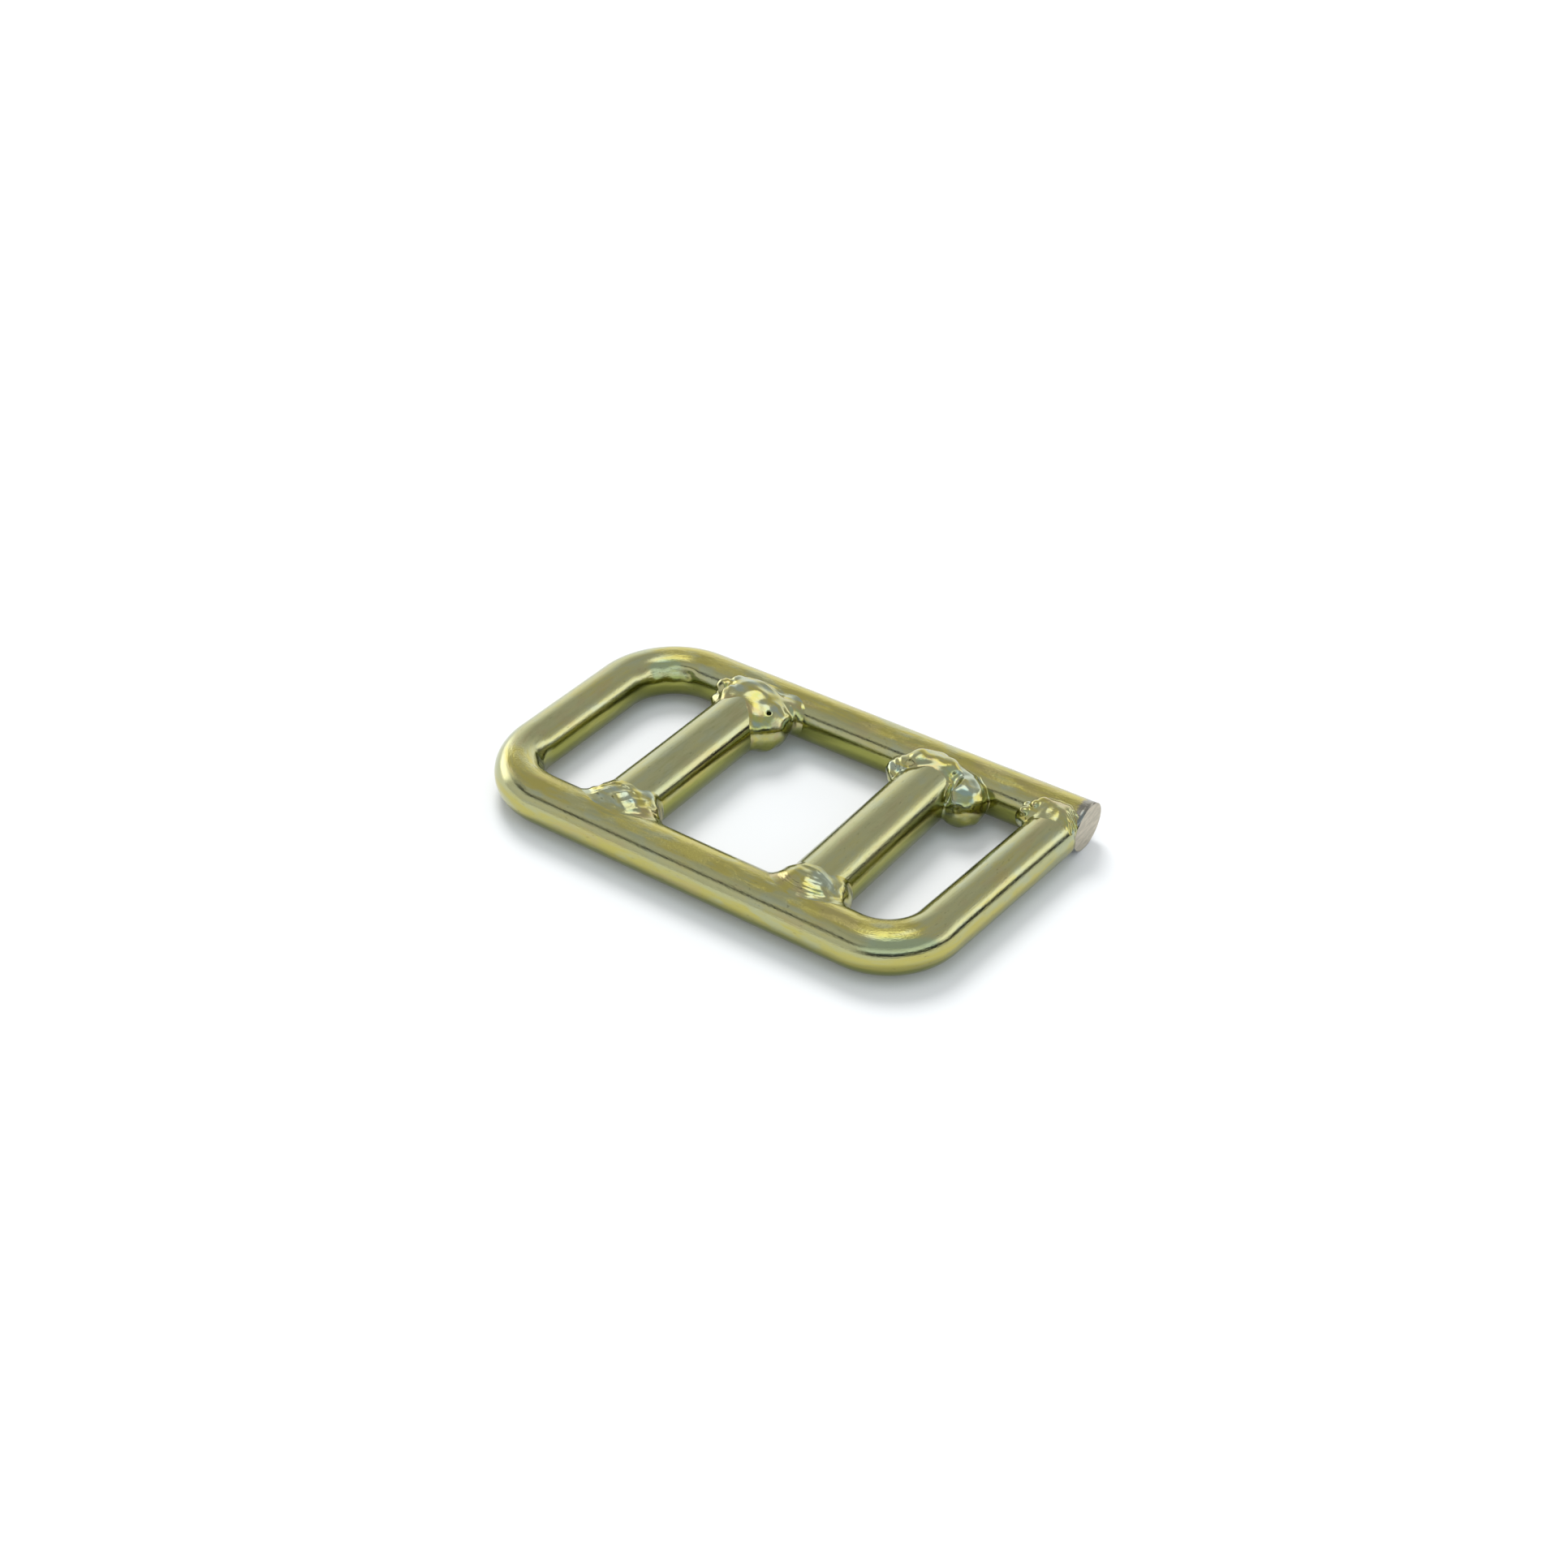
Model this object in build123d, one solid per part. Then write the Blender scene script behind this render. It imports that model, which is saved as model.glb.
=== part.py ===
import os
from math import atan2, cos, degrees, radians, sin

from build123d import *

os.makedirs("parts", exist_ok=True)

# One-way ladder buckle for flat webbing, bent and welded from round steel rod.
# Axes: X runs along the two long rails, Y across the webbing, Z up from the
# surface the buckle lies on. All sizes are in millimetres.

# Rod and spacing
frame_dia = 10.0            # rod that is bent into the outer frame
crossbar_dia = 12.0         # the two straight bars are of thicker rod
webbing_width = 40.0
webbing_clearance = 3.0     # both sides together
frame_length = 96.8         # end bar centre to closing bar centre, at mid width
closing_bar_lean = 3.5      # the closing bar's far end lies this much further out

# Centreline radii of the three bends, which differ on a hand-bent frame
far_left_bend = 13.7
near_left_bend = 12.9
near_right_bend = 11.3

# Each crossbar is set from the end it is nearest to, centre to centre
left_crossbar_in = 28.8     # from the end bar
right_crossbar_in = 24.7    # from the closing bar

# Free end of the rod
rail_overrun = 5.8          # far rail past the closing bar's centre
rail_cut_slant = 3.0        # degrees the cut leans back towards its foot
rail_cut_edge = 0.3         # break on the cut's edge

# Welds
root_gap = 0.5              # between each bar's square end and the rail it meets
weld_lift = 0.7             # the beads stay this far above the surface
weld_bite = 0.4             # each bead starts this deep in its bar
far_reach = 7.8             # how far each bead covers its bar, back from the rail
near_reach = 4.4
closing_reach = 6.0
far_rise = 1.6              # height of each bead's crest over its bar
near_rise = 1.0
closing_rise = 1.5
weld_run_out = 4.2          # how far each bead runs out over the rail
toe_length = 10.0           # the near beads' toes along the rail, from the bar's centre
toe_height = 0.6            # and over the rail
left_drop = 4.9             # radius of the drop beside the left crossbar's far end
right_drop = 5.2            # the same at the right crossbar
closing_drop = 3.2          # the drop on the closing weld's inner side
drop_flats = (-60, -22, 22, 48, 72)     # degrees of slope where a drop's flats meet
closing_shift = 0.9         # the closing weld sits this far towards the end bar
closing_proud = 0.4         # and stands this far past the closing bar's outer side

# Values that follow from the above
frame_r = frame_dia / 2
crossbar_r = crossbar_dia / 2
rail_y = (webbing_width + webbing_clearance + frame_dia) / 2
rail_side = rail_y - frame_r
end_x = frame_length / 2
left_x = -end_x + left_crossbar_in
right_x = end_x - right_crossbar_in

# The frame is one rod: free end, far rail, end bar, near rail, closing bar. The
# closing bar stops square, a root gap short of the far rail's inner side.
lean = Vector(closing_bar_lean, 2 * rail_y, 0).normalized()
turn = Vector(end_x - closing_bar_lean / 2, -rail_y, frame_r)
bar_end = turn + lean * ((rail_side - root_gap + rail_y) / lean.Y)
start = Vector(end_x + rail_overrun + frame_dia, rail_y, frame_r)
centreline = FilletPolyline(
    start,
    Vector(-end_x, rail_y, frame_r),
    Vector(-end_x, -rail_y, frame_r),
    turn,
    bar_end,
    radius=[far_left_bend, near_left_bend, near_right_bend],
)
rod = sweep(Plane(origin=start, z_dir=(-1, 0, 0)) * Circle(frame_r), path=centreline)

# The free end is cut off with a slight slant, clear of the closing bar beside it,
# and its edge is broken.
waste = Box(4 * frame_dia, 2 * frame_dia, 2 * frame_dia, align=(Align.MIN, Align.MIN, Align.CENTER))
past_cut = Pos(end_x + rail_overrun, rail_side - root_gap / 2, frame_r) * Rot(0, rail_cut_slant, 0) * waste
frame = rod - past_cut
cut_face = frame.faces().filter_by(GeomType.PLANE).sort_by(Axis.X)[-1]
frame = chamfer(cut_face.edges(), rail_cut_edge)


# Each crossbar lies on the same surface as the frame, so it stands a little proud
# of the thinner rails. Its square ends stop a root gap short of both rails.
def crossbar(x):
    bar = Cylinder(crossbar_r, 2 * (rail_side - root_gap))
    return Pos(x, 0, crossbar_r) * Rot(90, 0, 0) * bar


left_crossbar = crossbar(left_x)
right_crossbar = crossbar(right_x)


# A bead is a collar of revolution about its bar. It swells from the bar to a crest
# beside the rail, and then runs out over the rail. It is built with the foot of its
# bar at the origin: side is 1 at the far rail and -1 at the near rail.
def collar(side, bar_r, reach, rise):
    outline = [
        (bar_r - weld_bite, reach),
        (bar_r + 0.6 * rise, 0.65 * reach),
        (bar_r + rise, 0.3 * reach),
        (bar_r + 0.75 * rise, -0.1 * reach),
        (frame_dia - bar_r - weld_bite / 2, -weld_run_out),
    ]
    points = [(radius, -side * back) for radius, back in outline]
    rim = Polyline(*points, (0, points[-1][1]), (0, points[0][1]), close=True)
    return revolve(make_face(rim), Axis.Y)


# Toes fill the corners on both sides of a bar. They are a flare about the bar, cut
# down to a low saddle along the rail and rounded off at its ends.
def toes(side, bar_r, reach):
    tip = -side * reach
    heel = side * weld_run_out
    slope = (toe_length - bar_r) / reach
    flare = make_face(Polyline(
        (0, tip), (bar_r, tip), (toe_length + slope * weld_run_out, heel), (0, heel), close=True
    ))
    saddle = Rot(0, 90, 0) * Cylinder(frame_r + toe_height, 4 * toe_length)
    return revolve(flare, Axis.Y) & Pos(0, 0, frame_r + toe_height - bar_r) * saddle & Sphere(toe_length)


# A drop of metal lies where the bead was started or stopped. It is a dome turned
# about its upright axis, its round side taken as a few flats.
def drop(side, bar_r, along, back, height, radius):
    rim = [(radius * cos(radians(a)), 0, radius * sin(radians(a))) for a in drop_flats]
    half = make_face(Polyline((0, 0, rim[0][2]), *rim, (0, 0, rim[-1][2]), close=True))
    return Pos(along, -side * back, height - bar_r) * revolve(half, Axis.Z)


# A finished weld stands at its bar's foot, clear of the surface, and is trimmed to
# the pieces it joins, so that it meets them face to face.
def weld(metal, foot, bar_r, around, angle=0):
    placed = Pos(*foot, bar_r) * Rot(0, 0, angle) * metal
    above = Box(3 * frame_length, 3 * frame_length, frame_length, align=(Align.CENTER, Align.CENTER, Align.MIN))
    placed &= Pos(0, 0, weld_lift) * above
    for piece in around:
        placed -= piece
    return placed.solids().sort_by(SortBy.VOLUME)[-1]


# Far ends: thick beads with a heavy drop in the corner to the right of the bar
far_collar = collar(1, crossbar_r, far_reach, far_rise)
far_left_weld = weld(
    far_collar + drop(1, crossbar_r, 0.9 * left_drop, 0.9 * left_drop, 1.05 * left_drop, left_drop),
    (left_x, rail_side), crossbar_r, [frame, left_crossbar],
)
far_right_weld = weld(
    far_collar + drop(1, crossbar_r, 1.35 * right_drop, 0.42 * right_drop, 1.04 * right_drop, right_drop),
    (right_x, rail_side), crossbar_r, [frame, right_crossbar],
)

# Near ends: low beads, drawn out along the rail to a toe on each side
near_bead = collar(-1, crossbar_r, near_reach, near_rise) + toes(-1, crossbar_r, near_reach)
near_left_weld = weld(near_bead, (left_x, -rail_side), crossbar_r, [frame, left_crossbar])
near_right_weld = weld(near_bead, (right_x, -rail_side), crossbar_r, [frame, right_crossbar])

# The closing weld joins the rod's last end to its own far rail. It is level with the
# cut, and stands only a little past the closing bar's outer side.
closing_foot = turn + lean * ((rail_side + rail_y) / lean.Y)
past_bar = Pos(closing_foot.X + frame_r + closing_proud, 0, 0) * Box(
    frame_length, 3 * rail_y, frame_length, align=(Align.MIN, Align.CENTER, Align.CENTER)
)
closing_weld = weld(
    collar(1, frame_r, closing_reach, closing_rise)
    + drop(1, frame_r, -1.25 * closing_drop, 0.2 * closing_drop, 1.9 * closing_drop, closing_drop),
    (closing_foot.X - closing_shift, closing_foot.Y), frame_r,
    [frame, past_cut, past_bar], -degrees(atan2(lean.X, lean.Y)),
)

# The buckle stands on Z = 0 with its bounding box centred on X = 0 and Y = 0.
pieces = {
    "frame": frame,
    "left_crossbar": left_crossbar,
    "right_crossbar": right_crossbar,
    "far_left_weld": far_left_weld,
    "near_left_weld": near_left_weld,
    "far_right_weld": far_right_weld,
    "near_right_weld": near_right_weld,
    "closing_weld": closing_weld,
}
box = Compound(children=[Part() + piece for piece in pieces.values()]).bounding_box()
centre = Pos(-(box.min.X + box.max.X) / 2, -(box.min.Y + box.max.Y) / 2, 0)
for name, piece in pieces.items():
    placed = centre * piece
    placed.label = name
    export_step(placed, f"parts/{name}.step")
    print(name, round(placed.volume, 1), len(placed.solids()), placed.is_valid)
print("box", box.size)
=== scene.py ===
import math

import bpy
import numpy as np
from mathutils import Matrix, Vector


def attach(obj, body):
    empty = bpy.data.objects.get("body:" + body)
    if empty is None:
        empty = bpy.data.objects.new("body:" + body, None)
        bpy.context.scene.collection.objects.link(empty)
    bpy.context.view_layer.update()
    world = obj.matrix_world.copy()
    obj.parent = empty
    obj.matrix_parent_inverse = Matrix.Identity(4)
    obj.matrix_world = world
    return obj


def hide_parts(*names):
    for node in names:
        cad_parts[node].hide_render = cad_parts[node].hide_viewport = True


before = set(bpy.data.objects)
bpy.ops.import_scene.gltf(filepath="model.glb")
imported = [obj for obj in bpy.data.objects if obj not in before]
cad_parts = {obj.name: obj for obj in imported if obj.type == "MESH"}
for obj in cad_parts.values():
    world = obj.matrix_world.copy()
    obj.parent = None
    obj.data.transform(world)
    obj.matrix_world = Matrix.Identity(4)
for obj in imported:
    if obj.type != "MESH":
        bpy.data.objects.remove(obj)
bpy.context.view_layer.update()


# Outer frame: one 10 mm round steel rod, bent cold round three corners and plated
# with yellow zinc. Its free end is sheared off bare, a little past the closing bar.
RAIL_Y = 26.5
ROD_R = 5.0
END_BAR_X = -49.31
CLOSING_BAR_X = 47.49
CLOSING_LEAN = 3.5
CUT_X = 53.29
CUT_SLANT = math.tan(math.radians(3.0))


def rod_path(points, radii, step):
    """Points and directions along a rod bent to these corners, all in millimetres."""
    corners = [Vector(p) for p in points]
    spots = []
    here = corners[0]
    for i, radius in enumerate(radii, start=1):
        into = (corners[i] - corners[i - 1]).normalized()
        out = (corners[i + 1] - corners[i]).normalized()
        turn = into.angle(out)
        reach = radius * math.tan(turn / 2)
        start = corners[i] - into * reach
        count = max(2, round((start - here).length / step))
        spots += [(here.lerp(start, k / count), into) for k in range(count)]
        centre = start + (out - into * into.dot(out)).normalized() * radius
        bends = max(4, round(radius * turn / (0.6 * step)))
        side = (start - centre).normalized()
        for k in range(bends):
            a = turn * k / bends
            spots.append((centre + (side * math.cos(a) + into * math.sin(a)) * radius,
                          (into * math.cos(a) - side * math.sin(a)).normalized()))
        here = corners[i] + out * reach
    out = (corners[-1] - here).normalized()
    count = max(2, round((corners[-1] - here).length / step))
    spots += [(here.lerp(corners[-1], k / count), out) for k in range(count + 1)]
    return spots


def rod_mesh(name, spots, radius, sides, cut_x, folds):
    """A round bar along the spots, closed at both ends, with its unbent coordinates kept as rod.

    Each fold is where the bender pinched the inside of a bend: a place, a depth and a width.
    """
    rows = []
    coords = []
    run = 0.0
    last = spots[0][0]
    for spot, ahead in spots:
        run += (spot - last).length
        last = spot
        outward = ahead.cross(Vector((0, 0, 1)))
        for k in range(sides):
            a = 2 * math.pi * k / sides
            p = spot + (outward * math.cos(a) + Vector((0, 0, 1)) * math.sin(a)) * radius
            for place, depth, width in folds:
                near = math.exp(-((p - Vector(place)).length / width) ** 2)
                p -= outward * math.cos(a) * depth * near + Vector((0, 0, 0.4 * depth * near))
            rows.append(p)
            coords.append((run, radius * math.cos(a), radius * math.sin(a)))
    for k in range(sides):
        rows[k].x = cut_x + (rows[k].z - ROD_R) * CUT_SLANT
    rings = len(spots)
    faces = []
    for i in range(rings - 1):
        for k in range(sides):
            n = (k + 1) % sides
            faces.append((i * sides + k, (i + 1) * sides + k, (i + 1) * sides + n, i * sides + n))
    for ring, turn in ((0, 1), (rings - 1, -1)):
        rim = range(ring * sides, (ring + 1) * sides)
        faces.append(tuple(rim)[::turn])
    mesh = bpy.data.meshes.new(name)
    mesh.from_pydata([p * 0.001 for p in rows], [], faces)
    mesh.attributes.new("rod", "FLOAT_VECTOR", "POINT").data.foreach_set(
        "vector", [c for v in coords for c in v])
    mesh.shade_smooth()
    for cap in mesh.polygons[-2:]:
        cap.use_smooth = False
        cap.material_index = 1
    return mesh


frame_spots = rod_path(
    [(CUT_X, RAIL_Y, ROD_R), (END_BAR_X, RAIL_Y, ROD_R), (END_BAR_X, -RAIL_Y, ROD_R),
     (CLOSING_BAR_X - CLOSING_LEAN / 2, -RAIL_Y, ROD_R),
     (CLOSING_BAR_X + CLOSING_LEAN / 2 * 21.0 / RAIL_Y, 21.0, ROD_R)],
    [13.7, 12.9, 11.3], 0.8)
frame_folds = [((-40.5, 20.6, 7.5), 0.55, 2.0), ((-38.0, 21.4, 7.2), 0.4, 1.2), ((-43.3, 17.6, 7.6), 0.35, 1.6),
               ((-43.0, -18.4, 8.0), 0.45, 1.7), ((-40.2, -21.0, 8.0), 0.3, 1.4)]
frame_rod = bpy.data.objects.new(
    "frame_rod", rod_mesh("frame_rod", frame_spots, ROD_R, 96, CUT_X, frame_folds))
bpy.context.scene.collection.objects.link(frame_rod)


def add(tree, kind, inputs=None, **settings):
    """Add a shader node, set its options, and feed its inputs with values or other nodes' outputs."""
    made = tree.nodes.new("ShaderNode" + kind)
    for option, value in settings.items():
        setattr(made, option, value)
    for slot, value in (inputs or {}).items():
        if isinstance(value, bpy.types.NodeSocket):
            tree.links.new(value, made.inputs[slot])
        else:
            made.inputs[slot].default_value = value
    return made


def effect(name, inputs, outputs):
    """A reusable shader effect with named inputs, each with its usual value, and named outputs."""
    tree = bpy.data.node_groups.new(name, "ShaderNodeTree")
    for label, (kind, usual) in inputs.items():
        socket = tree.interface.new_socket(label, in_out="INPUT", socket_type="NodeSocket" + kind)
        if usual is not None:
            socket.default_value = usual
    for label, kind in outputs.items():
        tree.interface.new_socket(label, in_out="OUTPUT", socket_type="NodeSocket" + kind)
    return tree, tree.nodes.new("NodeGroupInput").outputs, tree.nodes.new("NodeGroupOutput").inputs


def fade(tree, value, low, high, to_low=0.0, to_high=1.0):
    """Smooth change from one level to another while a value goes from low to high."""
    return add(tree, "MapRange", {"Value": value, "From Min": low, "From Max": high, "To Min": to_low,
                                  "To Max": to_high}, interpolation_type="SMOOTHSTEP").outputs["Result"]


def stretched_noise(tree, place, stretch, detail=3.0, roughness=0.55):
    """Noise over a place in millimetres, with its own scale on each axis."""
    scaled = add(tree, "VectorMath", {0: place, 1: stretch}, operation="MULTIPLY").outputs[0]
    return add(tree, "TexNoise", {"Vector": scaled, "Scale": 1.0, "Detail": detail,
                                  "Roughness": roughness}).outputs["Fac"]


def mix(tree, share, first, second):
    """Mixed colour of two colours or outputs."""
    made = add(tree, "Mix", {"Factor": share}, data_type="RGBA")
    for slot, value in ((6, first), (7, second)):
        if isinstance(value, bpy.types.NodeSocket):
            tree.links.new(value, made.inputs[slot])
        else:
            made.inputs[slot].default_value = (*value, 1)
    return made.outputs[2]


def calculate(tree, operation, *values):
    """Result of one sum on numbers and other nodes' outputs."""
    return add(tree, "Math", dict(enumerate(values)), operation=operation).outputs[0]


# Passivated zinc is straw yellow in the open, with paler and cooler clouds. It is deeper gold on the crests and low
# on the outside. Its dark olive is partly random patches and mostly painted shade, put on the low, inner and under
# sides.
PALE_ZINC = (0.43, 0.435, 0.235)
COOL_ZINC = (0.37, 0.44, 0.37)
ROSE_ZINC = (0.44, 0.37, 0.20)
GOLD_ZINC = (0.47, 0.425, 0.125)
OLIVE_AND_PAINTED_SHADE_ZINC = (0.27, 0.28, 0.072)
PIT_BROWN = (0.10, 0.09, 0.035)
RUBBED_STEEL = (0.27, 0.26, 0.22)
zinc, given, put = effect("yellow_passivated_zinc", {
    "Place": ("Vector", None), "Gold": ("Float", 0.3), "Painted shade": ("Float", 0.0),
    "Rubbed": ("Float", 0.0), "Clouding": ("Float", 0.5), "Rainbow": ("Float", 0.5), "Pitting": ("Float", 0.5)},
    {"Color": "Color", "Roughness": "Float"})
clouds = stretched_noise(zinc, given["Place"], (0.07, 0.22, 0.22))
streaks = stretched_noise(zinc, given["Place"], (0.25, 1.6, 1.6), 4.0)
drift = calculate(zinc, "ADD", fade(zinc, clouds, 0.3, 0.7, -0.5, 0.5), fade(zinc, streaks, 0.3, 0.7, -0.4, 0.4))
gold = calculate(zinc, "MULTIPLY_ADD", drift, given["Clouding"], given["Gold"])
# Olive share: painted shade from the mask, plus a little random olive from the drift.
olive_and_painted_shade = calculate(zinc, "MULTIPLY_ADD", drift, -0.35, given["Painted shade"])
film = stretched_noise(zinc, given["Place"], (0.11, 0.3, 0.3), 2.0)
cool = calculate(zinc, "MULTIPLY", fade(zinc, film, 0.52, 0.66), given["Rainbow"])
rose = calculate(zinc, "MULTIPLY", fade(zinc, film, 0.46, 0.34), given["Rainbow"])
colour = mix(zinc, fade(zinc, gold, 0.0, 1.0), PALE_ZINC, GOLD_ZINC)
colour = mix(zinc, cool, colour, COOL_ZINC)
colour = mix(zinc, rose, colour, ROSE_ZINC)
# Dark olive mixed in here is mostly painted shade on the low sides, with some random olive patches.
colour = mix(zinc, fade(zinc, olive_and_painted_shade, 0.0, 1.0), colour, OLIVE_AND_PAINTED_SHADE_ZINC)
specks = stretched_noise(zinc, given["Place"], (0.8, 2.2, 2.2), 5.0, 0.7)
pits = calculate(zinc, "MULTIPLY", fade(zinc, specks, 0.62, 0.69), given["Pitting"])
colour = mix(zinc, pits, colour, PIT_BROWN)
rubbed = calculate(zinc, "MULTIPLY_ADD", drift, 0.4, given["Rubbed"])
zinc.links.new(mix(zinc, fade(zinc, rubbed, 0.3, 0.8), colour, RUBBED_STEEL), put["Color"])
rough = calculate(zinc, "MULTIPLY_ADD", pits, 0.2, fade(zinc, streaks, 0.3, 0.75, 0.07, 0.17))
zinc.links.new(rough, put["Roughness"])

# Drawn rod has long faint die marks, and the plating over it is finely grained. Both
# break up what it mirrors.
grain, given, put = effect("drawn_rod_grain", {
    "Place": ("Vector", None), "Grain": ("Float", 1.0), "Die marks": ("Float", 1.0)}, {"Height": "Float"})
marks = stretched_noise(grain, given["Place"], (0.25, 2.8, 2.8), 4.0, 0.6)
fine = stretched_noise(grain, given["Place"], (2.4, 4.2, 4.2), 3.0, 0.6)
height = calculate(grain, "MULTIPLY", marks, given["Die marks"])
grain.links.new(calculate(grain, "MULTIPLY_ADD", fine, given["Grain"], height), put["Height"])


def zinc_material(name, place_of, tint_and_shade_of, grain_of, depth, die_marks=1.0, **plating_values):
    """Yellow zinc over steel. The callables build its place and its masks in the material's tree."""
    made = bpy.data.materials.new(name)
    made.use_nodes = True
    tree = made.node_tree
    shader = tree.nodes["Principled BSDF"]
    place = place_of(tree)
    # The second mask is painted shade: it turns the low sides dark olive.
    gold, olive_and_painted_shade = tint_and_shade_of(tree, place)
    plating = add(tree, "Group", node_tree=zinc)
    relief = add(tree, "Group", node_tree=grain)
    for group in (plating, relief):
        tree.links.new(place, group.inputs["Place"])
    tree.links.new(gold, plating.inputs["Gold"])
    tree.links.new(olive_and_painted_shade, plating.inputs["Painted shade"])
    tree.links.new(grain_of(tree, place), relief.inputs["Grain"])
    for label, value in plating_values.items():
        plating.inputs[label].default_value = value
    relief.inputs["Die marks"].default_value = die_marks
    tree.links.new(plating.outputs["Color"], shader.inputs["Base Color"])
    tree.links.new(plating.outputs["Roughness"], shader.inputs["Roughness"])
    shader.inputs["Metallic"].default_value = 1.0
    bump = add(tree, "Bump", {"Strength": 1.0, "Distance": depth, "Height": relief.outputs["Height"]})
    tree.links.new(bump.outputs["Normal"], shader.inputs["Normal"])
    return made


def frame_place(tree):
    return add(tree, "Attribute", attribute_name="rod").outputs["Vector"]


def on_rails(tree):
    """One on the two long rails, nothing on the end bar and the closing bar."""
    across = add(tree, "SeparateXYZ", {0: add(tree, "TexCoord").outputs["Object"]}).outputs["Y"]
    return fade(tree, calculate(tree, "ABSOLUTE", across), 0.019, 0.0235)


def frame_tint_and_shade(tree, place):
    """Gold along the rails' crests and low on the outside; dark olive low on the inside and underneath, which is
    painted shade.
    """
    part = add(tree, "SeparateXYZ", {0: place}).outputs
    crest = calculate(tree, "MULTIPLY", fade(tree, part["Z"], 3.6, 4.7, 0.0, 0.9), on_rails(tree))
    low = fade(tree, part["Z"], 2.4, 0.4, 0.15, 0.8)
    # Painted shade: the low inner side and the underside of the rod turn dark olive.
    inside = calculate(tree, "MULTIPLY", fade(tree, part["Z"], 2.6, 0.6), fade(tree, part["Y"], 1.0, -2.0, 0.0, 0.9))
    painted_shade_under = fade(tree, part["Z"], -0.6, -2.0)
    return calculate(tree, "MAXIMUM", low, crest), calculate(tree, "MAXIMUM", inside, painted_shade_under)


def frame_grain(tree, place):
    """The crests of the rails are rubbed and speckled in patches."""
    up = add(tree, "SeparateXYZ", {0: place}).outputs["Z"]
    worn = fade(tree, stretched_noise(tree, place, (0.1, 0.4, 0.4), 3.0), 0.42, 0.6)
    crest = calculate(tree, "MULTIPLY", calculate(tree, "MULTIPLY", fade(tree, up, 3.6, 4.6), worn), on_rails(tree))
    return calculate(tree, "MULTIPLY_ADD", crest, 4.0, 0.8)


plated = zinc_material("zinc_on_frame_rod", frame_place, frame_tint_and_shade, frame_grain, 0.000018, 0.7, Rainbow=0.35)

# The shears rubbed the plating thin beside the cut.
tree = plated.node_tree
from_cut = add(tree, "SeparateXYZ", {0: frame_place(tree)}).outputs["X"]
plating = next(group for group in tree.nodes if group.type == "GROUP" and group.node_tree == zinc)
tree.links.new(fade(tree, from_cut, 3.2, 0.3, 0.0, 1.2), plating.inputs["Rubbed"])

# The free end was sheared after plating, so its face is bare, dull, greyish steel.
sheared = bpy.data.materials.new("sheared_steel")
sheared.use_nodes = True
tree = sheared.node_tree
shader = tree.nodes["Principled BSDF"]
spot = add(tree, "TexCoord").outputs["Object"]
torn = stretched_noise(tree, spot, (200.0, 500.0, 1800.0), 4.0)
tree.links.new(mix(tree, fade(tree, torn, 0.35, 0.65), (0.46, 0.41, 0.31), (0.60, 0.53, 0.41)),
               shader.inputs["Base Color"])
shader.inputs["Metallic"].default_value = 0.3
shader.inputs["Roughness"].default_value = 0.5
bump = add(tree, "Bump", {"Strength": 1.0, "Distance": 0.00004, "Height": torn})
tree.links.new(bump.outputs["Normal"], shader.inputs["Normal"])

frame_rod.data.materials.append(plated)
frame_rod.data.materials.append(sheared)
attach(frame_rod, "root")
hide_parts("frame")

# Crossbars: two straight lengths of 12 mm rod, cropped square and plated like the
# frame. They keep the solids' own meshes.
def crossbar_place(tree):
    """Run along the bar, across it and up, in millimetres."""
    spot = add(tree, "SeparateXYZ", {0: add(tree, "TexCoord").outputs["Object"]}).outputs
    turned = add(tree, "CombineXYZ", {0: spot["Y"], 1: spot["X"], 2: spot["Z"]}).outputs[0]
    return add(tree, "VectorMath", {0: turned, "Scale": 1000.0}, operation="SCALE").outputs[0]


def crossbar_tint_and_shade(tree, place):
    up = add(tree, "SeparateXYZ", {0: place}).outputs["Z"]
    # Gold on the lower half is tone; the dark olive below the bar's middle is painted shade.
    return fade(tree, up, 9.2, 7.6, 0.1, 0.8), fade(tree, up, 8.2, 6.0, 0.0, 1.0)


def crossbar_grain(tree, place):
    return fade(tree, stretched_noise(tree, place, (0.1, 0.1, 0.1), 1.0), 0.3, 0.7, 0.5, 0.9)


for node, die_marks, depth in (("left_crossbar", 0.8, 0.000010), ("right_crossbar", 0.5, 0.000026)):
    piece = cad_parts[node]
    piece.data.materials.clear()
    piece.data.materials.append(zinc_material(f"zinc_on_{node}", crossbar_place, crossbar_tint_and_shade, crossbar_grain,
                                              depth, die_marks, Clouding=0.4, Rainbow=0.25, Pitting=0.4))


# Far-left weld: the bead that holds the left crossbar to the far rail. It was run
# round the bar's end in several stops, ends in a heavy drop, and has a gas pinhole.
LEFT_BAR_X = -20.51
RIGHT_BAR_X = 22.79
CROSSBAR_R = 6.0
CROSSBAR_END_Y = 21.0
FLOOR_CLEARANCE = 0.7


def blend(a, b, softness):
    """Union of two distance fields with a fillet of about this radius between them."""
    share = np.clip(0.5 + 0.5 * (b - a) / softness, 0, 1)
    return b + (a - b) * share - softness * share * (1 - share)


def ellipsoid(spots, centre, radii):
    """Distance from an ellipsoid, near enough close to its surface."""
    far = np.asarray(spots) - centre
    scaled = np.linalg.norm(far / radii, axis=-1)
    steep = np.linalg.norm(far / np.square(radii), axis=-1)
    return scaled * (scaled - 1) / np.maximum(steep, 1e-6)


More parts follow.
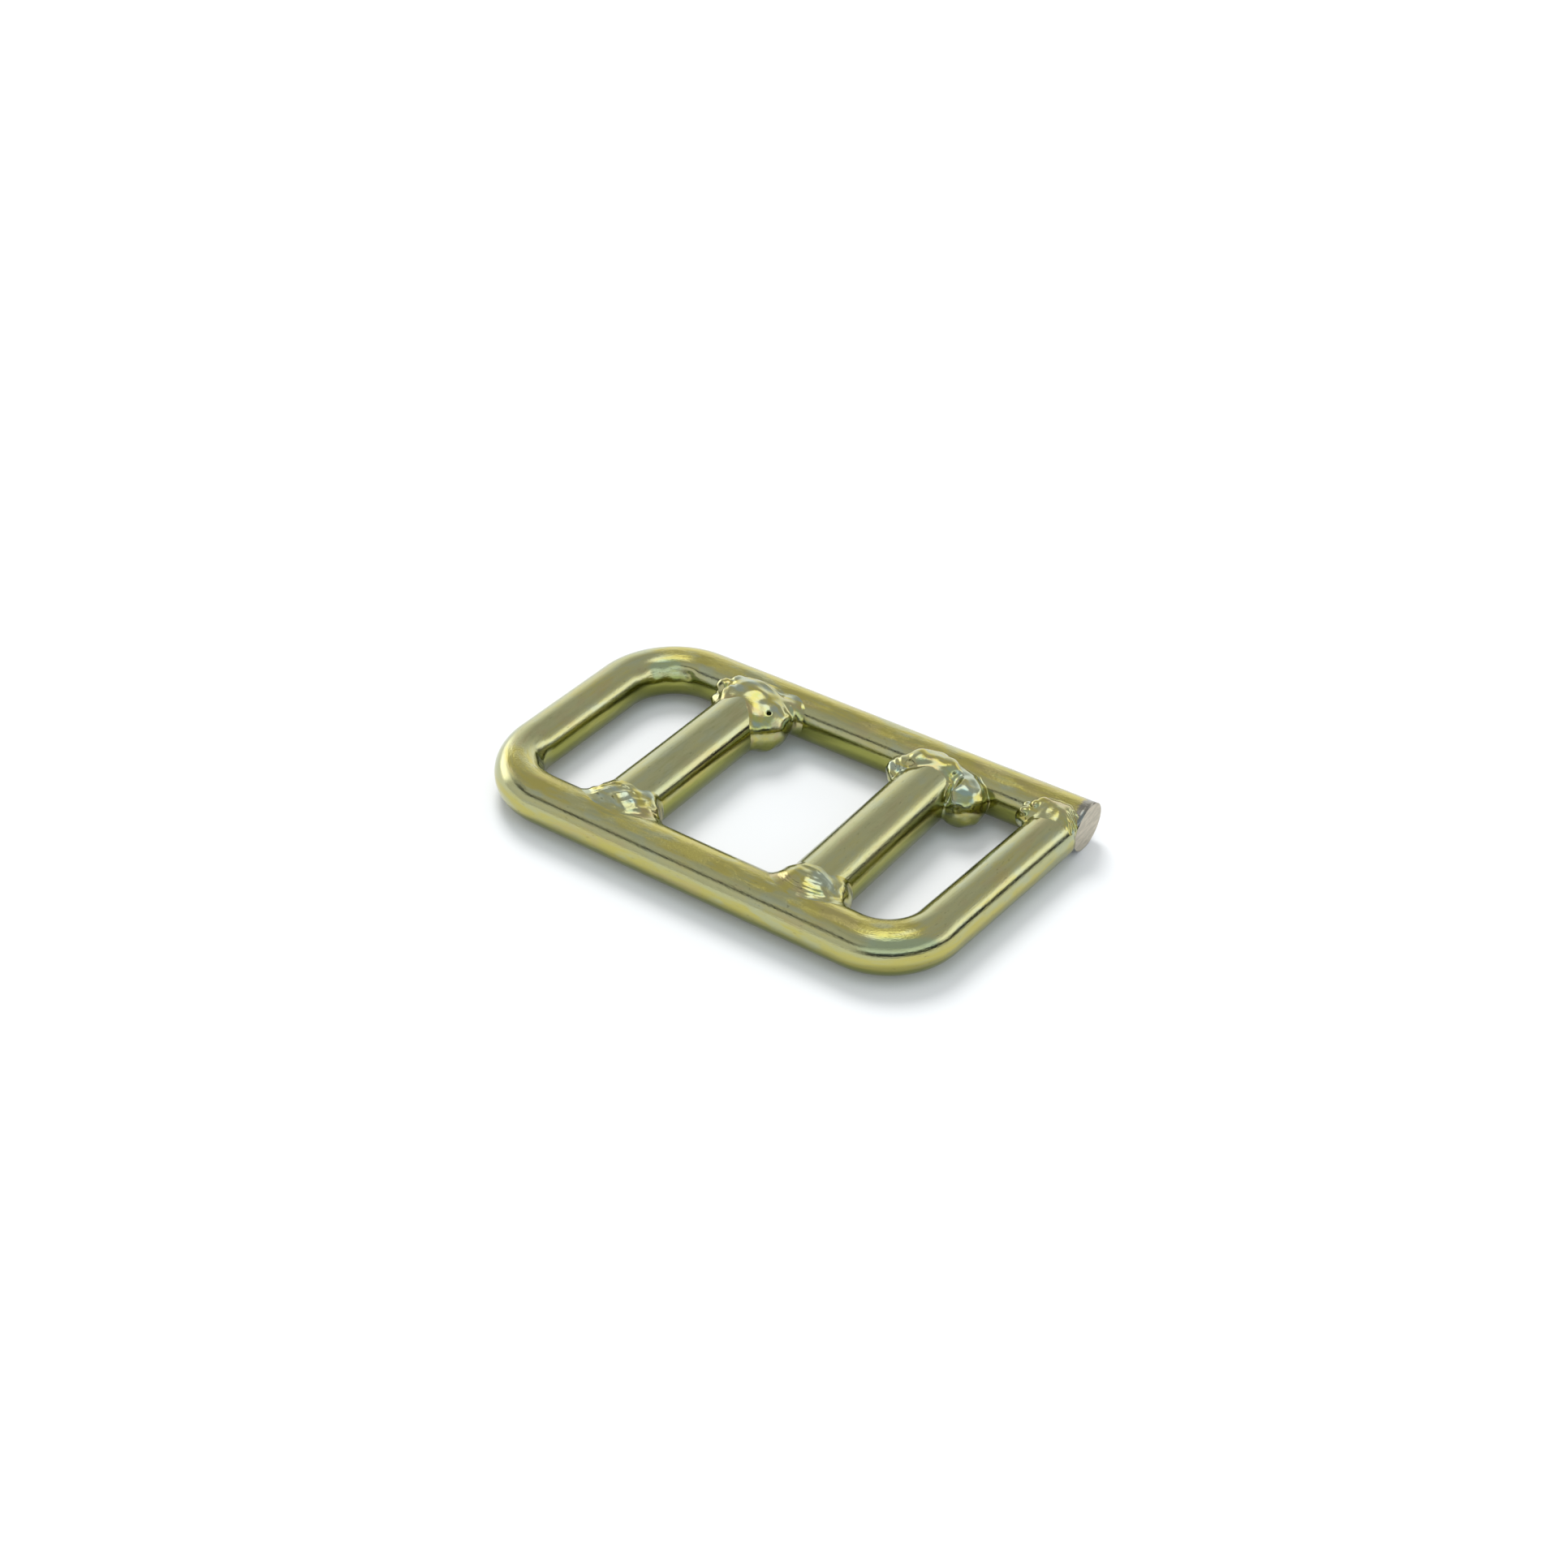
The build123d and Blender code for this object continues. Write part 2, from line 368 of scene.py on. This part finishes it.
def stroke(spots, start, end, start_radius, end_radius):
    """Distance from a tapered run of metal between two points."""
    start, end = np.array(start), np.array(end)
    along = np.clip((spots - start) @ (end - start) / ((end - start) @ (end - start)), 0, 1)
    nearest = start + along[..., None] * (end - start)
    return np.linalg.norm(spots - nearest, axis=-1) - start_radius - along * (end_radius - start_radius)


def patch(spots, centre, radii):
    """One at the centre of a patch, fading to nothing at about twice its radii."""
    return np.exp(-np.square((spots - np.array(centre)) / radii).sum(axis=-1))


def ripples(spots, source, spacing, height):
    """Rings of frozen ripple about a source, with sharp crests and round troughs."""
    away = np.linalg.norm(spots - np.array(source), axis=-1)
    return height * (1 - 2 * np.abs(np.sin(math.pi * away / spacing)))


def lumps(spots, size, height, seed):
    """Uneven cast surface: a sum of slow waves in many directions."""
    draw = np.random.default_rng(seed)
    total = 0
    for _ in range(9):
        heading = draw.normal(size=3)
        heading *= 2 * math.pi / size / np.linalg.norm(heading) * draw.uniform(0.6, 1.5)
        total = total + np.sin(spots @ heading + draw.uniform(0, 2 * math.pi))
    return total * height / 3


def crossbar_joint(spots, bar_x, side):
    """Distance from a crossbar's end and the rail beside it."""
    rail = np.hypot(spots[..., 1] - side * RAIL_Y, spots[..., 2] - ROD_R) - ROD_R
    bar = np.hypot(spots[..., 0] - bar_x, spots[..., 2] - CROSSBAR_R) - CROSSBAR_R
    bar = np.maximum(bar, side * spots[..., 1] - CROSSBAR_END_Y)
    return np.minimum(rail, bar)


def weld_skin(metal, rods, softness, sink=0.05, depth=0.35, margin=1.2):
    """Field of a bead's visible skin: it runs out onto the rods and dips just under them."""
    outside = blend(metal, rods + sink, softness)
    return np.maximum(np.maximum(outside, -rods - depth), metal - margin)


def cast_mesh(name, field, low, high, step=0.2):
    """Closed mesh of the surface where a field over space in millimetres is zero, in its largest shell."""
    axes = [np.arange(a, b, step) for a, b in zip(low, high)]
    value = field(np.stack(np.meshgrid(*axes, indexing="ij"), axis=-1))
    inside = value < 0
    cells = np.array(value.shape) - 1
    corners = [np.array((i, j, k)) for i in (0, 1) for j in (0, 1) for k in (0, 1)]
    filled = sum(inside[tuple(slice(c, c + n) for c, n in zip(corner, cells))].astype(int)
                 for corner in corners)
    crossed = (filled > 0) & (filled < 8)
    number = np.full(crossed.shape, -1)
    number[crossed] = np.arange(crossed.sum())
    cell = np.argwhere(crossed)
    middle = np.zeros(cell.shape)
    cuts = np.zeros(len(cell))
    for first in corners:
        for axis in range(3):
            if first[axis]:
                continue
            second = first + np.eye(3, dtype=int)[axis]
            a = value[tuple((cell + first).T)]
            b = value[tuple((cell + second).T)]
            cut = (a < 0) != (b < 0)
            share = np.where(cut, a / np.where(cut, a - b, 1), 0)
            middle += cut[:, None] * (first + share[:, None] * (second - first))
            cuts += cut
    spots = np.array(low) + step * (cell + middle / cuts[:, None])
    for _ in range(2):
        here = field(spots)
        slope = np.stack([field(spots + e) - field(spots - e) for e in 0.02 * np.eye(3)], axis=-1) / 0.04
        move = here[:, None] * slope / np.maximum(np.square(slope).sum(axis=-1), 0.1)[:, None]
        spots -= np.clip(move, -0.3 * step, 0.3 * step)
    faces = []
    for axis in range(3):
        u = np.eye(3, dtype=int)[(axis + 1) % 3]
        v = np.eye(3, dtype=int)[(axis + 2) % 3]
        ahead = np.roll(inside, -1, axis=axis)
        edge = np.argwhere(inside != ahead)
        edge = edge[(edge > 0).all(axis=1) & (edge < cells).all(axis=1)]
        ring = np.stack([number[tuple((edge - back).T)] for back in (u + v, v, 0 * u, u)], axis=-1)
        leaving = inside[tuple(edge.T)]
        ring[~leaving] = ring[~leaving][:, ::-1]
        faces.append(ring)
    faces = np.concatenate(faces)
    shell = np.arange(len(spots))
    settled = False
    while not settled:
        before = shell.copy()
        np.minimum.at(shell, faces.ravel(), np.repeat(shell[faces].min(axis=1), 4))
        shell = shell[shell]
        settled = (shell == before).all()
    faces = faces[shell[faces[:, 0]] == np.bincount(shell).argmax()]
    kept, faces = np.unique(faces, return_inverse=True)
    mesh = bpy.data.meshes.new(name)
    mesh.from_pydata(spots[kept] * 0.001, [], faces.reshape(-1, 4))
    mesh.shade_smooth()
    return mesh


def far_left(spots):
    metal = ellipsoid(spots, (-20.6, 19.8, 6.3), (7.3, 5.3, 6.7))
    metal = blend(metal, ellipsoid(spots, (-15.7, 17.3, 5.5), (5.0, 5.1, 4.8)), 1.2)
    metal = blend(metal, ellipsoid(spots, (-15.6, 18.6, 7.0), (4.6, 5.0, 4.4)), 1.8)
    metal = blend(metal, ellipsoid(spots, (-13.4, 22.3, 6.4), (3.2, 3.0, 3.6)), 1.2)
    for centre, radius in (((-23.2, 16.6, 10.6), 2.0), ((-26.4, 19.0, 9.9), 2.1), ((-26.0, 16.5, 8.2), 1.9),
                           ((-24.4, 20.9, 10.6), 1.8), ((-11.9, 19.6, 8.2), 0.9), ((-12.6, 17.0, 8.0), 0.8)):
        metal = blend(metal, ellipsoid(spots, centre, radius), 0.5)
    metal = metal + lumps(spots, 3.2, 0.10, 3)
    rings = ripples(spots, (-29.0, 14.0, 11.0), 1.25, 0.10) * patch(spots, (-25.5, 17.5, 10.5), (3, 3, 3))
    arcs = ripples(spots, (-17.0, 19.5, 6.0), 0.95, 0.07) * patch(spots, (-11.5, 20.5, 7.0), (2.5, 3.5, 3.5))
    metal = metal - rings - arcs
    pinhole = stroke(spots, (-13.5, 16.1, 10.4), (-14.3, 17.0, 8.6), 0.42, 0.30)
    metal = -blend(-metal, pinhole, 0.3)
    skin = weld_skin(metal, crossbar_joint(spots, LEFT_BAR_X, 1), 1.6)
    return np.maximum(skin, FLOOR_CLEARANCE - spots[..., 2])


def weld_place(tree):
    spot = add(tree, "TexCoord").outputs["Object"]
    return add(tree, "VectorMath", {0: spot, "Scale": 1000.0}, operation="SCALE").outputs[0]


def weld_tint_and_shade(tree, place):
    up = add(tree, "SeparateXYZ", {0: place}).outputs["Z"]
    gold = fade(tree, stretched_noise(tree, place, (0.28, 0.28, 0.28), 3.0), 0.35, 0.68, 0.0, 0.9)
    # Random gold patches are tone; dark olive on the bead's lower part is painted shade.
    return gold, fade(tree, up, 7.0, 3.5, 0.0, 0.9)


def weld_grain(tree, place):
    return fade(tree, stretched_noise(tree, place, (0.35, 0.35, 0.35), 2.0), 0.4, 0.65, 0.4, 1.6)


weld_zinc = zinc_material("zinc_on_weld", weld_place, weld_tint_and_shade, weld_grain, 0.00002, 0.5,
                          Clouding=0.5, Rainbow=0.75, Pitting=0.15)

far_left_bead = bpy.data.objects.new(
    "far_left_bead", cast_mesh("far_left_bead", far_left, (-30, 10, 0.3), (-8, 28, 14)))
bpy.context.scene.collection.objects.link(far_left_bead)
far_left_bead.data.materials.append(weld_zinc)
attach(far_left_bead, "root")
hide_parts("far_left_weld")


# Far-right weld: the bead that holds the right crossbar to the far rail, with a thick
# roll over the bar's end and the largest drop of metal hanging beside it.
def far_right(spots):
    metal = ellipsoid(spots, (22.6, 20.6, 6.2), (6.9, 4.7, 6.4))
    for start, end, first, last in (((16.7, 16.9, 8.8), (20.4, 18.8, 10.6), 2.4, 2.7),
                                    ((20.4, 18.8, 10.6), (25.6, 20.6, 9.6), 2.7, 2.5),
                                    ((25.6, 20.6, 9.6), (29.8, 22.4, 6.6), 2.5, 2.4)):
        metal = blend(metal, stroke(spots, start, end, first, last), 0.7)
    metal = blend(metal, ellipsoid(spots, (29.8, 19.2, 5.5), (5.1, 5.1, 5.1)), 0.9)
    for centre, radius in (((17.2, 15.4, 8.4), 1.9), ((16.0, 18.2, 9.0), 1.7), ((18.2, 17.3, 10.9), 1.4)):
        metal = blend(metal, ellipsoid(spots, centre, radius), 0.4)
    metal = metal + lumps(spots, 3.4, 0.09, 11)
    comb = ripples(spots, (30.6, 9.0, 11.5), 0.75, 0.09) * patch(spots, (27.6, 17.9, 8.6), (2.2, 2.2, 3))
    arcs = ripples(spots, (28.4, 19.4, 6.0), 0.85, 0.08) * patch(spots, (33.4, 19.5, 7.0), (2.0, 3.5, 3.5))
    rings = ripples(spots, (13.0, 14.0, 8.0), 1.3, 0.09) * patch(spots, (17.5, 17.3, 10.2), (2.5, 2.5, 2.5))
    metal = metal - comb - arcs - rings
    metal = -blend(-metal, stroke(spots, (28.9, 15.2, 7.6), (28.6, 19.2, 11.0), 0.5, 0.9), 0.9)
    skin = weld_skin(metal, crossbar_joint(spots, RIGHT_BAR_X, 1), 0.6)
    return np.maximum(skin, FLOOR_CLEARANCE - spots[..., 2])


far_right_bead = bpy.data.objects.new(
    "far_right_bead", cast_mesh("far_right_bead", far_right, (12, 11, 0.3), (37, 28, 14)))
bpy.context.scene.collection.objects.link(far_right_bead)
far_right_bead.data.materials.append(weld_zinc)
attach(far_right_bead, "root")
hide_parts("far_right_weld")


# Near welds: flat, wide beads that hold the crossbars to the near rail. Each was
# drawn sideways along the rail, so it ends in a low toe on both sides of its bar.
def near_left(spots):
    metal = ellipsoid(spots, (-20.2, -22.0, 6.0), (7.4, 4.6, 5.8))
    metal = blend(metal, ellipsoid(spots, (-20.0, -23.4, 5.3), (11.0, 3.9, 5.3)), 2.2)
    metal = blend(metal, ellipsoid(spots, (-16.2, -19.9, 5.6), (3.0, 3.0, 4.9)), 1.0)
    metal = metal + lumps(spots, 3.0, 0.11, 21)
    folds = ripples(spots, (-34.0, -8.0, 12.0), 1.9, 0.13) * patch(spots, (-20.5, -22.5, 10.5), (8, 3, 3))
    rings = ripples(spots, (-22.0, -21.0, 6.0), 0.9, 0.07) * patch(spots, (-15.0, -20.5, 9.0), (2.5, 3, 3))
    metal = metal - folds - rings
    skin = weld_skin(metal, crossbar_joint(spots, LEFT_BAR_X, -1), 1.0)
    return np.maximum(skin, FLOOR_CLEARANCE - spots[..., 2])


def near_right(spots):
    metal = ellipsoid(spots, (22.7, -22.4, 6.2), (7.0, 4.6, 5.9))
    metal = blend(metal, ellipsoid(spots, (23.3, -23.9, 5.2), (10.2, 4.2, 5.2)), 1.8)
    metal = blend(metal, ellipsoid(spots, (27.4, -20.2, 5.6), (3.0, 3.2, 4.6)), 1.0)
    metal = metal + lumps(spots, 3.4, 0.10, 31)
    weave = ripples(spots, (24.0, -14.0, 22.0), 0.7, 0.05) * patch(spots, (22.5, -25.5, 10.0), (6, 2.5, 3))
    rings = ripples(spots, (21.5, -21.0, 6.0), 0.9, 0.07) * patch(spots, (28.5, -21.5, 8.5), (2.5, 3, 3))
    metal = metal - weave - rings
    skin = weld_skin(metal, crossbar_joint(spots, RIGHT_BAR_X, -1), 1.0)
    return np.maximum(skin, FLOOR_CLEARANCE - spots[..., 2])


for side_name, shape, bar_x in (("left", near_left, LEFT_BAR_X), ("right", near_right, RIGHT_BAR_X)):
    bead = bpy.data.objects.new(
        f"near_{side_name}_bead",
        cast_mesh(f"near_{side_name}_bead", shape, (bar_x - 13, -29, 0.3), (bar_x + 13, -14, 14)))
    bpy.context.scene.collection.objects.link(bead)
    bead.data.materials.append(weld_zinc)
    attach(bead, "root")
    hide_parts(f"near_{side_name}_weld")


# Closing weld: the bead that joins the rod's last end to its own far rail and makes
# the frame a closed ring. Its last ripples run out to the sheared face.
def closing(spots):
    rail = np.hypot(spots[..., 1] - RAIL_Y, spots[..., 2] - ROD_R) - ROD_R
    rail = np.maximum(rail, spots[..., 0] - CUT_X - (spots[..., 2] - ROD_R) * CUT_SLANT)
    lean = CLOSING_LEAN / (2 * RAIL_Y)
    aside = (spots[..., 0] - CLOSING_BAR_X - lean * spots[..., 1]) / math.hypot(1, lean)
    bar = np.maximum(np.hypot(aside, spots[..., 2] - ROD_R) - ROD_R, spots[..., 1] - CROSSBAR_END_Y)
    metal = ellipsoid(spots, (48.0, 21.6, 5.5), (5.7, 4.9, 5.4))
    for start, end, first, last in (((43.6, 20.0, 7.3), (45.9, 22.2, 8.9), 2.2, 2.0),
                                    ((45.9, 22.2, 8.9), (49.8, 23.2, 8.2), 2.0, 1.9),
                                    ((49.8, 23.2, 8.2), (51.9, 24.6, 6.2), 1.9, 1.9)):
        metal = blend(metal, stroke(spots, start, end, first, last), 0.6)
    for centre, radius in (((43.4, 19.4, 8.7), 1.2), ((44.7, 21.0, 9.9), 1.1), ((42.9, 21.4, 8.6), 1.1),
                           ((46.6, 22.3, 10.2), 0.9)):
        metal = blend(metal, ellipsoid(spots, centre, radius), 0.3)
    metal = metal + lumps(spots, 2.8, 0.09, 41)
    ridges = ripples(spots, (48.0, 14.0, 9.0), 0.95, 0.26) * patch(spots, (53.2, 23.0, 7.5), (1.8, 4.5, 3))
    metal = metal - ridges
    skin = weld_skin(metal, np.minimum(rail, bar), 0.6)
    level = spots[..., 0] - CUT_X - (spots[..., 2] - ROD_R) * CUT_SLANT
    return np.maximum(np.maximum(skin, level + 0.02), FLOOR_CLEARANCE - spots[..., 2])


closing_bead = bpy.data.objects.new(
    "closing_bead", cast_mesh("closing_bead", closing, (39, 13, 0.3), (55, 28, 13)))
bpy.context.scene.collection.objects.link(closing_bead)
closing_bead.data.materials.append(weld_zinc)
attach(closing_bead, "root")
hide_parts("closing_weld")


# Floor: matt white paper. It shows as white to the camera and in the metal, and keeps
# the buckle's shadow.
ground = bpy.data.meshes.new("ground")
ground.from_pydata([(-3, -3, 0), (3, -3, 0), (3, 3, 0), (-3, 3, 0)], [], [(0, 1, 2, 3)])
floor = bpy.data.objects.new("floor", ground)
bpy.context.scene.collection.objects.link(floor)
paper = bpy.data.materials.new("white_paper")
paper.use_nodes = True
tree = paper.node_tree
shader = tree.nodes["Principled BSDF"]
shader.inputs["Base Color"].default_value = (0.82, 0.82, 0.82, 1)
shader.inputs["Roughness"].default_value = 0.9
shader.inputs["Emission Color"].default_value = (1, 1, 1, 1)
path = add(tree, "LightPath").outputs
seen = calculate(tree, "ADD", path["Is Camera Ray"], path["Is Glossy Ray"])
seen = calculate(tree, "ADD", seen, path["Is Transmission Ray"])
tree.links.new(calculate(tree, "MULTIPLY", seen, 0.06), shader.inputs["Emission Strength"])
ground.materials.append(paper)


# Light: a tent of white cloth, with a brighter panel behind it on each side, a lamp
# above, and dark gaps low on the right and across the front left.
world = bpy.data.worlds.new("studio")
bpy.context.scene.world = world
world.use_nodes = True
tree = world.node_tree
back = tree.nodes["Background"]
heading = add(tree, "TexCoord").outputs["Generated"]
rise = add(tree, "SeparateXYZ", {0: heading}).outputs["Z"]
flat = add(tree, "VectorMath", {0: heading, 1: (1, 1, 0)}, operation="MULTIPLY").outputs[0]
compass = add(tree, "VectorMath", {0: flat}, operation="NORMALIZE").outputs[0]


def cloth(stops, tint=(1, 1, 1)):
    """Brightness of the tent from the floor (0) to overhead (1)."""
    ramp = add(tree, "ValToRGB", {"Fac": rise})
    band = ramp.color_ramp
    while len(band.elements) < len(stops):
        band.elements.new(0.5)
    for element, (place, level) in zip(band.elements, stops):
        element.position = place
        element.color = (*(level * part for part in tint), 1)
    return ramp.outputs["Color"]


def towards(azimuth, start, full):
    """One on the side of the tent that faces this azimuth in degrees, fading to nothing."""
    way = (math.cos(math.radians(azimuth)), math.sin(math.radians(azimuth)), 0)
    facing = add(tree, "VectorMath", {0: compass, 1: way}, operation="DOT_PRODUCT").outputs["Value"]
    return fade(tree, facing, math.cos(math.radians(start)), math.cos(math.radians(full)))


front = cloth([(0, 0.75), (0.2, 0.85), (0.455, 0.85), (0.465, 0.0), (0.555, 0.0), (0.565, 0.75), (0.85, 0.58),
               (0.94, 0.62), (0.975, 2.0)])
left = cloth([(0, 1.2), (0.05, 2.8), (0.32, 2.6), (0.42, 0.8), (0.7, 0.58), (0.93, 0.6), (0.975, 2.0)])
back_left = cloth([(0, 1.3), (0.34, 1.3), (0.5, 0.95), (0.68, 0.58), (0.93, 0.6), (0.975, 2.0)])
back_right = cloth([(0, 0.04), (0.195, 0.04), (0.22, 1.85), (0.40, 1.75), (0.50, 0.72), (0.66, 0.55), (0.93, 0.6),
                    (0.975, 2.0)])
right = cloth([(0, 0.04), (0.24, 0.06), (0.28, 1.35), (0.42, 1.2), (0.54, 0.6), (0.8, 0.6), (0.93, 0.62),
               (0.975, 2.0)], (0.82, 0.98, 1.12))
level = mix(tree, towards(130, 70, 35), front, back_left)
level = mix(tree, towards(174, 26, 14), level, left)
level = mix(tree, towards(-25, 75, 45), level, right)
level = mix(tree, towards(42, 40, 24), level, back_right)
path = add(tree, "LightPath").outputs
tree.links.new(mix(tree, path["Is Camera Ray"], level, (1, 1, 1)), back.inputs["Color"])

# A broad soft lamp stands behind the buckle on the left, so its shadow falls forward.
# Hidden from mirror rays, it leaves the metal to the tent.
lamp = bpy.data.objects.new("soft_lamp", bpy.data.lights.new("soft_lamp", "SUN"))
bpy.context.scene.collection.objects.link(lamp)
lamp.rotation_euler = (0, math.radians(40), math.radians(135))
lamp.data.angle = math.radians(25)
lamp.data.energy = 1.9
lamp.visible_glossy = False


# Camera
AZ = math.radians(35.4346)
EL = math.radians(36.3339)
back_dir = Vector((math.sin(AZ) * math.cos(EL), -math.cos(AZ) * math.cos(EL), math.sin(EL)))
right_dir = Vector((math.cos(AZ), math.sin(AZ), 0))
up_dir = back_dir.cross(right_dir)
eye = Vector((-0.91, 0, 0)) + 53 * (0.0391 * right_dir + 0.1204 * up_dir + 7.7942 * back_dir)
lens = bpy.data.cameras.new("camera")
camera = bpy.data.objects.new("camera", lens)
bpy.context.scene.collection.objects.link(camera)
camera.matrix_world = Matrix.Translation(eye * 0.001) @ Matrix((right_dir, up_dir, back_dir)).transposed().to_4x4()
lens.sensor_width = 36
lens.lens = 2621.07 / 1932 * 36
lens.clip_start = 0.01
lens.clip_end = 20
bpy.context.scene.camera = camera
bpy.context.scene.view_settings.view_transform = "Standard"
